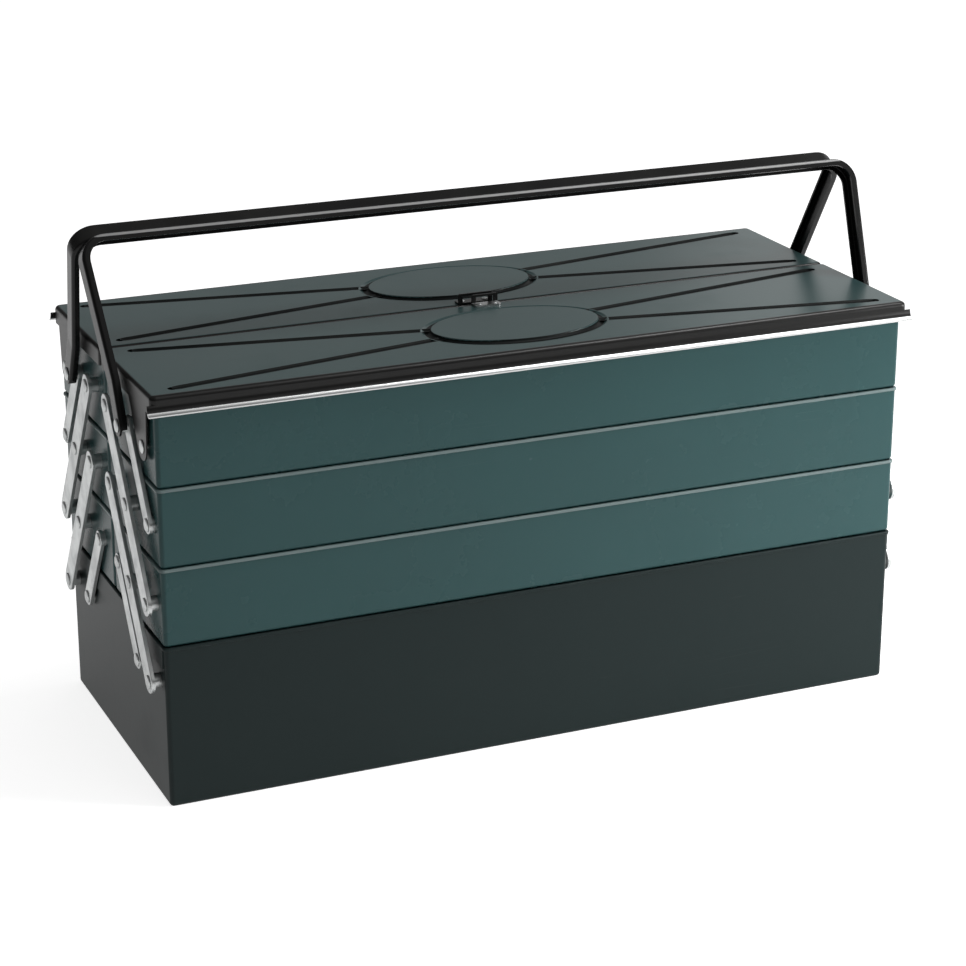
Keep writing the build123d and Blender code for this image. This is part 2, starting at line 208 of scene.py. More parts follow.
class SurfaceGraph(NodeGraph):
    """Nodes of one surface, with its object coordinates at hand."""

    FACING_UP: ClassVar[tuple[float, float]] = (0.2, 0.95)

    def __init__(self, name: str) -> None:
        """Start an empty material.

        Args:
            name: the material's name.
        """
        self.material = bpy.data.materials.new(name)
        self.material.use_nodes = True
        super().__init__(self.material.node_tree)
        self.tree.nodes.clear()
        self.place = self.node("ShaderNodeTexCoord").outputs["Object"]

    def turned(self, pattern: Pattern, stretch: float) -> bpy.types.NodeSocket:
        """Coordinates that are stretched along a direction.

        Args:
            pattern: the direction.
            stretch: how many times longer the pattern is that way.

        Returns:
            The socket with the coordinates.
        """
        if pattern is Pattern.EVEN:
            return self.place
        scale = (1.0 / stretch, 1.0, 1.0)
        turn = 0.0
        if pattern is not Pattern.ALONG_BOX:
            scale = (1.0, 1.0 / stretch, 1.0)
            side = -1.0 if pattern is Pattern.ALONG_FRONT_LINKS else 1.0
            turn = side * LinkBars.lean()
        inputs = {"Vector": self.place, "Rotation": (turn, 0.0, 0.0)}
        straight = self.node("ShaderNodeMapping", inputs).outputs[0]
        return self.node("ShaderNodeMapping", {"Vector": straight, "Scale": scale}).outputs[0]

    def noise(self, clouds: Clouds, vector: bpy.types.NodeSocket | None = None) -> Signal:
        """Cloudy noise from 0 to 1.

        Args:
            clouds: the noise's sizes.
            vector: coordinates; the object's own if left out.

        Returns:
            The noise, cut to its step if it has one.
        """
        inputs = {
            "Vector": self.place if vector is None else vector,
            "Scale": clouds.scale,
            "Detail": clouds.detail,
            "Roughness": clouds.rough,
        }
        made = Signal(self, self.node("ShaderNodeTexNoise", inputs).outputs["Fac"])
        return made if clouds.step is None else made.ramp(*clouds.step)

    def along(self, axis: str) -> Signal:
        """Place on the surface along X, Y or Z."""
        return Signal(self, self.node("ShaderNodeSeparateXYZ", {0: self.place}).outputs[axis])

    def upward(self) -> Signal:
        """How far the surface faces upwards, from 0 to 1."""
        normal = self.node("ShaderNodeNewGeometry").outputs["Normal"]
        rise = Signal(self, self.node("ShaderNodeSeparateXYZ", {0: normal}).outputs["Z"])
        return rise.ramp(*self.FACING_UP)

    def blend(self, share: Number, first: object, second: object) -> bpy.types.NodeSocket:
        """Mix two colours.

        Args:
            share: how much of the second colour shows.
            first: a colour or its socket.
            second: a colour or its socket.

        Returns:
            The socket with the mixed colour.
        """
        mix = self.node("ShaderNodeMix", data_type="RGBA")
        self.feed(mix.inputs[0], share)
        self.feed(mix.inputs[6], first)
        self.feed(mix.inputs[7], second)
        return mix.outputs[2]

    def bump(self, relief: Signal, depth: float, below: object = None) -> bpy.types.NodeSocket:
        """Turn a relief into a normal.

        Args:
            relief: the relief, from 0 to 1.
            depth: its full depth in metres.
            below: the normal of a coarser relief under it.

        Returns:
            The socket with the normal.
        """
        inputs = {"Height": relief, "Distance": depth, "Strength": 1.0}
        if below is not None:
            inputs["Normal"] = below
        return self.node("ShaderNodeBump", inputs).outputs[0]

    def finish(
        self, varying: Mapping[str, object], fixed: Mapping[str, float]
    ) -> bpy.types.Material:
        """Close the material with its shader.

        Args:
            varying: sockets that change over the surface.
            fixed: sockets that are the same all over.

        Returns:
            The finished material.
        """
        shader = self.node("ShaderNodeBsdfPrincipled", {**varying, **fixed})
        self.node("ShaderNodeOutputMaterial", {"Surface": shader.outputs[0]})
        return self.material


@dataclass(frozen=True)
class Wear:
    """Dust, fine scratches and smudges on enamel, with their share of colour and roughness."""

    speck: Clouds = Clouds(900.0, 1.0, step=(0.72, 0.78))
    speck_share: float = 0.4
    settled: Clouds = Clouds(11.0, 4.0, 0.65, (0.35, 0.85))
    settled_share: float = 0.6
    dust_colour: Colour = (0.42, 0.41, 0.38)
    dust_sheen: float = 0.5
    stroke: Clouds = Clouds(70.0, 1.0)
    stroke_length: float = 40.0
    stroke_place: float = 0.5
    stroke_width: float = 0.003
    scratched: Clouds = Clouds(9.0, 1.0, step=(0.58, 0.72))
    scratch_colour: Colour = (0.3, 0.31, 0.3)
    scratch_share: float = 0.3
    scratch_sheen: float = 0.6
    smudge: Clouds = Clouds(16.0, 5.0, 0.6, (0.5, 0.75))
    smudge_sheen: float = 0.03


@dataclass(frozen=True)
class Enamel:
    """Sprayed and baked enamel on sheet steel, with a trace of handling, and painted shade and
    painted highlights on some pieces.
    """

    name: str
    colour: Colour
    roughness: float = 0.3
    gloss: float = 0.2
    paint: Paint = Paint.ONE_COLOUR
    # The lid's black skirt, its own paint, with painted shade carried over the top edge's rounding
    # and onto a band of the top along the outer edge, standing in for a dark reflection; painted
    # highlights, in a bright bare-steel colour, on the lid's lip and the padlock eye's foot.
    dark: Colour = (0.008, 0.0078, 0.0075)
    dark_top: float = 278.35 * MM
    dark_blend: float = 0.06 * MM
    painted_shade_front: float = 109.3 * MM
    painted_highlight: Colour = (0.6, 0.61, 0.61)
    painted_highlight_roughness: float = 0.3
    lip_top: float = 268.8 * MM
    lip_start: float = 113.9 * MM
    lip_blend: float = 0.15 * MM
    foot_top: float = 279.9 * MM
    # Painted highlight, in a lighter colour, on the trays' rolled rims and on the grips' outer
    # corner.
    edge_highlight: Colour = (0.2, 0.26, 0.26)
    rims: tuple[float, ...] = (164.0 * MM, 217.0 * MM)
    rim_band: float = 1.9 * MM
    rim_blend: float = 0.1 * MM
    ridge: float = 12.2 * MM
    ridge_blend: float = 0.5 * MM
    ridge_low: float = 355.5 * MM
    ridge_low_blend: float = 0.3 * MM
    # Thicker and thinner patches, orange peel, and the sheet's own waves.
    thickness: Clouds = Clouds(5.0, 3.0)
    thickness_share: float = 0.1
    peel: Clouds = Clouds(520.0)
    peel_depth: float = 0.02 * MM
    wave: Clouds = Clouds(7.0, 1.0)
    wave_depth: float = 0.4 * MM
    wear: Wear = Wear()
    dust: float = 0.06
    scuffs: float = 0.12

    def colours(self, graph: SurfaceGraph) -> bpy.types.NodeSocket:
        """Enamel colour with its thicker and thinner patches, and the painted shade and painted
        highlights of some pieces.

        Args:
            graph: the surface's nodes.

        Returns:
            The socket with the colour.
        """
        pair = [
            tuple(channel * factor for channel in self.colour)
            for factor in (1 - self.thickness_share, 1 + self.thickness_share)
        ]
        tone = graph.blend(graph.noise(self.thickness), *pair)
        # Painted shade: the band along a lid's outer edge takes the dark colour; on the lid
        # itself, so does everything below its top, including the skirt's own black paint.
        if self.paint in (Paint.LID, Paint.LID_TOP):
            soft = self.dark_blend
            across = abs(graph.along("Y"))
            pale = across.ramp(self.painted_shade_front + 2 * soft, self.painted_shade_front - 2 * soft)
            if self.paint is Paint.LID:
                pale = pale * graph.along("Z").ramp(self.dark_top - soft, self.dark_top + soft)
            tone = graph.blend(pale, self.dark, tone)
        # Painted highlight on the trays' rolled rims and the grips' outer corner.
        edge_highlight_share = self.edge_highlight_share(graph)
        return graph.blend(edge_highlight_share, tone, self.edge_highlight) if isinstance(edge_highlight_share, Signal) else tone

    def edge_highlight_share(self, graph: SurfaceGraph) -> Number:
        """Where a lighter colour is painted as a highlight.

        Args:
            graph: the surface's nodes.

        Returns:
            1 on a tray's rolled rim or a grip's outer corner and 0 elsewhere.
        """
        if self.paint not in (Paint.TRAY, Paint.BOW):
            return 0.0
        height = graph.along("Z")
        if self.paint is Paint.BOW:
            outer = abs(graph.along("Y")).ramp(self.ridge, self.ridge + self.ridge_blend)
            return outer * height.ramp(self.ridge_low, self.ridge_low + self.ridge_low_blend)
        share: Number = 0.0
        soft = self.rim_blend
        for rim in self.rims:
            low = rim - self.rim_band
            above = height.ramp(low, low + 2 * soft)
            share = above * height.ramp(rim + soft, rim - soft) + share
        return share

    def painted_highlight_mask(self, graph: SurfaceGraph) -> Number:
        """Where a bright bare-steel colour is painted as the highlight of the lid's flared lip and
        a padlock eye's foot.

        Args:
            graph: the surface's nodes.

        Returns:
            1 on the painted highlight and 0 elsewhere.
        """
        soft = self.lip_blend
        if self.paint is Paint.EYE:
            return graph.along("Z").ramp(self.foot_top + soft, self.foot_top - soft)
        if self.paint is not Paint.LID:
            return 0.0
        low = graph.along("Z").ramp(self.lip_top + soft, self.lip_top - soft)
        return low * abs(graph.along("Y")).ramp(self.lip_start - soft, self.lip_start + soft)

    def material(self) -> bpy.types.Material:
        """Build the enamel.

        Returns:
            The material.
        """
        graph = SurfaceGraph(self.name)
        wear = self.wear
        speck = graph.noise(wear.speck)
        settled = graph.noise(wear.settled) * graph.upward()
        dust = (settled * wear.settled_share + speck * wear.speck_share) * self.dust
        tone = graph.blend(dust, self.colours(graph), wear.dust_colour)
        stroke = graph.noise(wear.stroke, graph.turned(Pattern.ALONG_BOX, wear.stroke_length))
        scratch = abs(stroke - wear.stroke_place).ramp(wear.stroke_width, 0.0)
        scratch = scratch * graph.noise(wear.scratched)
        tone = graph.blend(scratch * (wear.scratch_share * self.scuffs), tone, wear.scratch_colour)
        sheen = self.roughness + graph.noise(wear.smudge) * wear.smudge_sheen
        sheen = sheen + scratch * (wear.scratch_sheen * self.scuffs) + dust * wear.dust_sheen
        wave = graph.bump(graph.noise(self.wave), self.wave_depth)
        peel = graph.bump(graph.noise(self.peel), self.peel_depth, wave)
        # Painted highlight: a bright, metallic bare-steel colour on the lid's lip and the eye's
        # foot.
        bright = self.painted_highlight_mask(graph)
        if isinstance(bright, Signal):
            tone = graph.blend(bright, tone, self.painted_highlight)
            sheen = sheen + bright * (self.painted_highlight_roughness - self.roughness)
        varying = {"Base Color": tone, "Roughness": sheen, "Normal": peel, "Metallic": bright}
        return graph.finish(varying, {"Specular IOR Level": self.gloss})


@dataclass(frozen=True)
class ZincPlate:
    """Bright zinc plate with fine rolling marks and dull patches."""

    name: str
    pattern: Pattern = Pattern.EVEN
    bright: Colour = (0.68, 0.695, 0.69)
    dull: Colour = (0.42, 0.435, 0.44)
    roughness: float = 0.3
    marks: Clouds = Clouds(900.0, 3.0, 0.6)
    mark_length: float = 25.0
    mark_depth: float = 0.03 * MM
    mark_sheen: float = 0.1
    patch: Clouds = Clouds(70.0, 4.0, 0.6, (0.35, 0.75))
    patch_share: float = 0.6
    patch_sheen: float = 0.12
    spot: Clouds = Clouds(260.0, step=(0.66, 0.74))
    spot_share: float = 0.25
    spot_colour: Colour = (0.24, 0.25, 0.25)

    def material(self) -> bpy.types.Material:
        """Build the plating.

        Returns:
            The material.
        """
        graph = SurfaceGraph(self.name)
        marks = graph.noise(self.marks, graph.turned(self.pattern, self.mark_length))
        patch = graph.noise(self.patch)
        tone = graph.blend(patch * self.patch_share, self.bright, self.dull)
        tone = graph.blend(graph.noise(self.spot) * self.spot_share, tone, self.spot_colour)
        sheen = self.roughness + patch * self.patch_sheen + marks * self.mark_sheen
        relief = graph.bump(marks, self.mark_depth)
        varying = {"Base Color": tone, "Roughness": sheen, "Normal": relief}
        return graph.finish(varying, {"Metallic": 1.0})


@dataclass(frozen=True)
class Finishes:
    """The toolbox's paints and platings, built once."""

    tray: bpy.types.Material
    base: bpy.types.Material
    lid: bpy.types.Material
    lid_top: bpy.types.Material
    bead: bpy.types.Material
    bow: bpy.types.Material
    eye: bpy.types.Material
    zinc: bpy.types.Material
    zinc_links: Mapping[str, bpy.types.Material]

    @classmethod
    def build(cls) -> "Finishes":
        """Build every finish.

        Returns:
            The finishes.
        """
        petrol = (0.034, 0.094, 0.096)
        lid = (0.043, 0.086, 0.087)
        black = (0.007, 0.007, 0.007)
        # Lighter colour painted as the highlight on the grips' outer corner.
        edge_highlight = (0.36, 0.36, 0.36)
        links = {
            FRONT: ZincPlate("zinc_front_links", Pattern.ALONG_FRONT_LINKS).material(),
            REAR: ZincPlate("zinc_rear_links", Pattern.ALONG_REAR_LINKS).material(),
        }
        coats = {
            "tray": Enamel("tray_enamel", petrol, 0.27, 0.25, Paint.TRAY, scuffs=0.05),
            "base": Enamel("base_enamel", (0.012, 0.023, 0.023), 0.4),
            "lid": Enamel("lid_enamel", lid, 0.3, 0.3, Paint.LID, scuffs=0.04),
            "lid_top": Enamel("lid_top_enamel", lid, 0.3, 0.3, Paint.LID_TOP, scuffs=0.04),
            # Dark colour painted as shade in the beads and on the raised oval's wall.
            "bead": Enamel("bead_painted_shade", (0.004, 0.006, 0.006), 0.45, 0.1, scuffs=0.04),
            "bow": Enamel("bow_enamel", black, 0.25, 0.25, Paint.BOW, edge_highlight=edge_highlight),
            "eye": Enamel("eye_enamel", black, 0.3, 0.3, Paint.EYE),
            "zinc": ZincPlate("zinc_plate"),
        }
        finished = {name: coat.material() for name, coat in coats.items()}
        return cls(zinc_links=links, **finished)


class MeshTools:
    """Mesh work that several sub-assemblies share."""

    SHEET_CREASE: ClassVar[float] = radians(28)
    TURNED_CREASE: ClassVar[float] = radians(40)
    NORMAL_WEIGHT: ClassVar[int] = 100

    @staticmethod
    def piece(name: str, mesh: bpy.types.Mesh) -> bpy.types.Object:
        """Put a mesh into the scene as a piece.

        Args:
            name: the piece's name.
            mesh: its mesh.

        Returns:
            The object, at the origin.
        """
        made = bpy.data.objects.new(name, mesh)
        bpy.context.scene.collection.objects.link(made)
        return made

    @staticmethod
    def applied(source: bpy.types.Object) -> bpy.types.Mesh:
        """The plain mesh of an object with its modifiers.

        Args:
            source: the object.

        Returns:
            A new mesh.
        """
        bpy.context.view_layer.update()
        graph = bpy.context.evaluated_depsgraph_get()
        return bpy.data.meshes.new_from_object(source.evaluated_get(graph), depsgraph=graph)

    @staticmethod
    def drop(*unused: bpy.types.Object) -> None:
        """Remove helper objects from the scene."""
        for each in unused:
            bpy.data.objects.remove(each)

    @staticmethod
    def merged(node: str) -> bmesh.types.BMesh:
        """Open a node's mesh with its doubled vertices merged."""
        shape = bmesh.new()
        shape.from_mesh(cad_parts[node].data)
        bmesh.ops.remove_doubles(shape, verts=shape.verts, dist=MERGE_DISTANCE)
        return shape

    @staticmethod
    def smooth(shape: bmesh.types.BMesh, crease: float) -> None:
        """Shade a mesh smooth between its sharp edges.

        Args:
            shape: the mesh.
            crease: the least turn between two faces that stays a sharp edge.
        """
        for face in shape.faces:
            face.smooth = True
        for edge in shape.edges:
            edge.smooth = len(edge.link_faces) == 2 and edge.calc_face_angle() < crease

    @staticmethod
    def closed(shape: bmesh.types.BMesh, name: str) -> bpy.types.Mesh:
        """Turn an open mesh into a stored one of that name, and free it."""
        mesh = bpy.data.meshes.new(name)
        shape.to_mesh(mesh)
        shape.free()
        return mesh

    @classmethod
    def smooth_twin(
        cls, node: str, name: str, material: bpy.types.Material, body: str, slot: str
    ) -> bpy.types.Object:
        """Stand a merged copy with smooth curves in for a node.

        Args:
            node: the node that the copy stands for.
            name: the piece's name.
            material: its finish.
            body: the body that it rides on.
            slot: the record's material slot; not used.

        Returns:
            The new piece.
        """
        shape = cls.merged(node)
        cls.smooth(shape, cls.SHEET_CREASE)
        helper = cls.piece(name + "_helper", cls.closed(shape, name))
        weighted = helper.modifiers.new("weighted", "WEIGHTED_NORMAL")
        weighted.keep_sharp = True
        weighted.mode = "FACE_AREA"
        weighted.weight = cls.NORMAL_WEIGHT
        final = cls.applied(helper)
        cls.drop(helper)
        final.name = name
        final.materials.clear()
        final.materials.append(material)
        twin = cls.piece(name, final)
        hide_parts(node)
        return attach(twin, body)

    @classmethod
    def islands(cls, node: str) -> list[tuple[Vector, Vector]]:
        """The boxes of the separate solids in a node.

        Args:
            node: the node's name.

        Returns:
            The lowest and highest corner of each solid.
        """
        shape = cls.merged(node)
        seen = set()
        boxes = []
        for start in shape.verts:
            if start in seen:
                continue
            seen.add(start)
            reached = [start]
            places = []
            while reached:
                vertex = reached.pop()
                places.append(vertex.co.copy())
                for edge in vertex.link_edges:
                    other = edge.other_vert(vertex)
                    if other not in seen:
                        seen.add(other)
                        reached.append(other)
            axes = list(zip(*places))
            low, high = (Vector([pick(axis) for axis in axes]) for pick in (min, max))
            boxes.append((low, high))
        shape.free()
        return boxes

    @classmethod
    def revolved(cls, name: str, outline: Outline, steps: int) -> bpy.types.Object:
        """Turn an outline about the Z axis.

        Args:
            name: the object's name.
            outline: radius and height of each point, from axis to axis.
            steps: how many faces lie round the axis.

        Returns:
            The object, with closed poles and normals outwards.
        """
        shape = bmesh.new()
        verts = [shape.verts.new((radius, 0.0, height)) for radius, height in outline]
        edges = [shape.edges.new(pair) for pair in zip(verts, verts[1:])]
        bmesh.ops.spin(
            shape, geom=verts + edges, cent=(0, 0, 0), axis=(0, 0, 1), angle=2 * pi, steps=steps
        )
        bmesh.ops.remove_doubles(shape, verts=shape.verts, dist=MERGE_DISTANCE)
        bmesh.ops.recalc_face_normals(shape, faces=shape.faces)
        cls.smooth(shape, cls.TURNED_CREASE)
        return cls.piece(name, cls.closed(shape, name))


class ShapeTree(NodeGraph):
    """A Geometry Nodes tree with named inputs."""

    def __init__(self, name: str, inputs: Mapping[str, str]) -> None:
        """Start a tree that takes and gives a geometry.

        Args:
            name: the tree's name.
            inputs: the kind of socket for each named input after the geometry.
        """
        tree = bpy.data.node_groups.new(name, "GeometryNodeTree")
        super().__init__(tree)
        face = tree.interface
        face.new_socket(name="Geometry", in_out="OUTPUT", socket_type="NodeSocketGeometry")
        face.new_socket(name="Geometry", in_out="INPUT", socket_type="NodeSocketGeometry")
        self.identifiers = {
            title: face.new_socket(name=title, in_out="INPUT", socket_type=kind).identifier
            for title, kind in inputs.items()
        }
        self.source = self.node("NodeGroupInput").outputs

    def close(self, shape: bpy.types.NodeSocket) -> None:
        """End the tree with real geometry in its material.

        Args:
            shape: the socket with the geometry.
        """
        real = self.node("GeometryNodeRealizeInstances", {0: shape})
        inputs = {"Geometry": real.outputs[0], "Material": self.source["Material"]}
        dressed = self.node("GeometryNodeSetMaterial", inputs)
        self.node("NodeGroupOutput", {"Geometry": dressed.outputs[0]})

    def run(
        self, carrier: bpy.types.Object, values: Mapping[str, object], name: str
    ) -> bpy.types.Object:
        """Run the tree on an object and keep the result as a plain mesh.

        Args:
            carrier: the object that gives the tree its geometry; it is removed.
            values: a value for each named input.
            name: the new piece's name.

        Returns:
            The piece.
        """
        modifier = carrier.modifiers.new(name, "NODES")
        modifier.node_group = self.tree
        for title, value in values.items():
            modifier[self.identifiers[title]] = value
        mesh = MeshTools.applied(carrier)
        carrier.modifiers.remove(modifier)
        MeshTools.drop(carrier)
        mesh.name = name
        return MeshTools.piece(name, mesh)


@dataclass
class RivetStyle:
    """Sizes of one kind of semi-tubular rivet."""

    # Shares of the domed head: its seat's radius, and the height of its upright lip.
    SEAT: ClassVar[float] = 0.96
    LIP: ClassVar[float] = 0.22
    # Shares of the closing head's radius, and of the recess in it, with shares of its height.
    OUTER_ROLL: ClassVar[Outline] = [(1.0, 0.0), (1.0, 0.35), (0.93, 0.75)]
    INNER_ROLL: ClassVar[Outline] = [(1.15, 0.7), (1.0, 0.2), (0.0, 0.15)]

    shank: float = 2.5 * MM
    head: float = 4.5 * MM
    head_height: float = 1.4 * MM
    closing: float = 4.0 * MM
    closing_height: float = 1.0 * MM
    sheet: float = 1.0 * MM
    recess: float = 1.5 * MM
    steps: int = 28
    rings: int = 7

    def dome(self) -> Outline:
        """Outline of the domed head, on its seat at height 0."""
        lip = self.LIP * self.head_height
        arc = [
            (self.head * cos(turn), lip + (self.head_height - lip) * sin(turn))
            for turn in (pi / 2 * step / self.rings for step in range(self.rings + 1))
        ]
        return [(0.0, 0.0), (self.head * self.SEAT, 0.0)] + arc[:-1] + [(0.0, self.head_height)]

    def stem(self) -> Outline:
        """Outline of a shank of length 1."""
        return [(0.0, 0.0), (self.shank, 0.0), (self.shank, 1.0), (0.0, 1.0)]

    def roll(self) -> Outline:
        """Outline of the rolled closing head, seat at height 0, downwards."""
        low = -self.closing_height
        outer = [(self.closing * wide, low * deep) for wide, deep in self.OUTER_ROLL]
        inner = [(self.recess * wide, low * deep) for wide, deep in self.INNER_ROLL]
        return [(0.0, 0.0), *outer, ((self.closing + self.recess) / 2, low), *inner]


@dataclass
class Rivets:
    """Domed rivets, put on the sites of the plain ones and joined for each body."""

    style: RivetStyle = field(default_factory=RivetStyle)
    axis: int = 0

    def sites(self, nodes: Sequence[str]) -> list[tuple[Vector, Vector, float]]:
        """Read the rivets of some nodes.

        Args:
            nodes: the nodes with the plain rivets.

        Returns:
            For each rivet its place on the sheet's outer face, its direction and its grip.
        """
        found = []
        for node in nodes:
            for low, high in MeshTools.islands(node):
                middle = (low + high) / 2
                side = 1.0 if self.axis == 2 or middle[self.axis] > 0 else -1.0
                outer = (high if side > 0 else low)[self.axis]
                inner = (low if side > 0 else high)[self.axis]
                sheet_face = inner + side * (self.style.closing_height + self.style.sheet)
                outward = Vector((0.0, 0.0, 0.0))
                outward[self.axis] = side
                place = middle.copy()
                place[self.axis] = sheet_face
                grip = abs(outer - sheet_face) - self.style.head_height
                found.append((place, outward, grip))
        return found

    def tree(self) -> ShapeTree:
        """Build the tree that sets heads, shanks and closing heads on their sites.

        Returns:
            The tree.
        """
        kinds = {
            "Head": "NodeSocketObject",
            "Shank": "NodeSocketObject",
            "Closing head": "NodeSocketObject",
            "Sheet": "NodeSocketFloat",
            "Material": "NodeSocketMaterial",
        }
        tree = ShapeTree("rivets", kinds)
        site = "GeometryNodeInputNamedAttribute"
        ahead = tree.node(site, {0: "outward"}, data_type="FLOAT_VECTOR").outputs[0]
        reach = Signal(tree, tree.node(site, {0: "grip"}, data_type="FLOAT").outputs[0])
        sheet = Signal(tree, tree.source["Sheet"])
        aligned = tree.node("FunctionNodeAlignRotationToVector", {"Vector": ahead}, axis="Z")
        length = tree.node("ShaderNodeCombineXYZ", {0: 1.0, 1: 1.0, 2: reach + sheet}).outputs[0]
        joined = tree.node("GeometryNodeJoinGeometry")
        for title, lift, size in (
            ("Head", reach, None),
            ("Shank", 0.0 - sheet, length),
            ("Closing head", 0.0 - sheet, None),
        ):
            step = tree.node("ShaderNodeVectorMath", {0: ahead, "Scale": lift}, operation="SCALE")
            shift = {0: tree.source["Geometry"], "Offset": step.outputs[0]}
            moved = tree.node("GeometryNodeSetPosition", shift)
            shape = tree.node("GeometryNodeObjectInfo", {"Object": tree.source[title]})
            inputs = {
                "Points": moved.outputs[0],
                "Instance": shape.outputs["Geometry"],
                "Rotation": aligned.outputs[0],
            }
            if size is not None:
                inputs["Scale"] = size
            placed = tree.node("GeometryNodeInstanceOnPoints", inputs)
            tree.feed(joined.inputs[0], placed.outputs[0])
        tree.close(joined.outputs[0])
        return tree

    def build(
        self, name: str, nodes: Sequence[str], body: str, material: bpy.types.Material
    ) -> None:
        """Set the rivets of one body.

        Args:
            name: the piece's name.
            nodes: the nodes that it stands for.
            body: the body that it rides on.
            material: its finish.
        """
        sites = self.sites(nodes)
        mesh = bpy.data.meshes.new(name + "_sites")
        mesh.from_pydata([place for place, _, _ in sites], [], [])
        mesh.attributes.new("outward", "FLOAT_VECTOR", "POINT")
        mesh.attributes.new("grip", "FLOAT", "POINT")
        for index, (_, direction, reach) in enumerate(sites):
            mesh.attributes["outward"].data[index].vector = direction
            mesh.attributes["grip"].data[index].value = reach
        head = MeshTools.revolved("rivet_head", self.style.dome(), self.style.steps)
        shank = MeshTools.revolved("rivet_shank", self.style.stem(), self.style.steps)
        closing = MeshTools.revolved("rivet_closing", self.style.roll(), self.style.steps)
        values = {
            "Head": head,
            "Shank": shank,
            "Closing head": closing,
            "Sheet": self.style.sheet,
            "Material": material,
        }
        piece = self.tree().run(MeshTools.piece(name + "_carrier", mesh), values, name)
        MeshTools.drop(head, shank, closing)
        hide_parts(*nodes)
        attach(piece, body)
        log.info("%s: %d rivets", name, len(sites))


@dataclass
class Trays:
    """The bottom tray and the three tiers of paired trays."""

    finishes: Finishes

    def build(self) -> None:
        """Dress every tray."""
        node = "bottom_tray"
        base, coat = self.finishes.base, self.finishes.tray
        MeshTools.smooth_twin(node, node + "_enamelled", base, "base", "black_paint")
        for side in (FRONT, REAR):
            for tier in TIERS:
                node = f"{tier}_tray_{side}"
                MeshTools.smooth_twin(node, node + "_enamelled", coat, node, "tray_paint")
        log.info("trays dressed")


@dataclass
class LinkBars:
    """Flat link bars at both ends, with their washers and spacer tubes."""

    finishes: Finishes
    run: float = 36.8 * MM
    rise: float = 55.0 * MM

    @classmethod
    def lean(cls) -> float:
        """Lean of a bar from level, in radians."""
        return atan2(cls.rise, cls.run)

    def build(self) -> None:
        """Dress the bars and what holds them off the walls."""
        for side in (FRONT, REAR):
            zinc = self.finishes.zinc_links[side]
            for level in ("lower", "upper"):
                for reach in ("long", "short"):
                    for end in ("left", "right"):
                        node = f"{level}_{reach}_link_{end}_{side}"
                        body = f"{level}_{reach}_links_{side}"
                        MeshTools.smooth_twin(node, node + "_plated", zinc, body, "zinc_plate")
        for name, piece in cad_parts.items():
            if "spacers" in name:
                piece.data.materials.clear()
                piece.data.materials.append(self.finishes.zinc)
        log.info("link bars dressed")


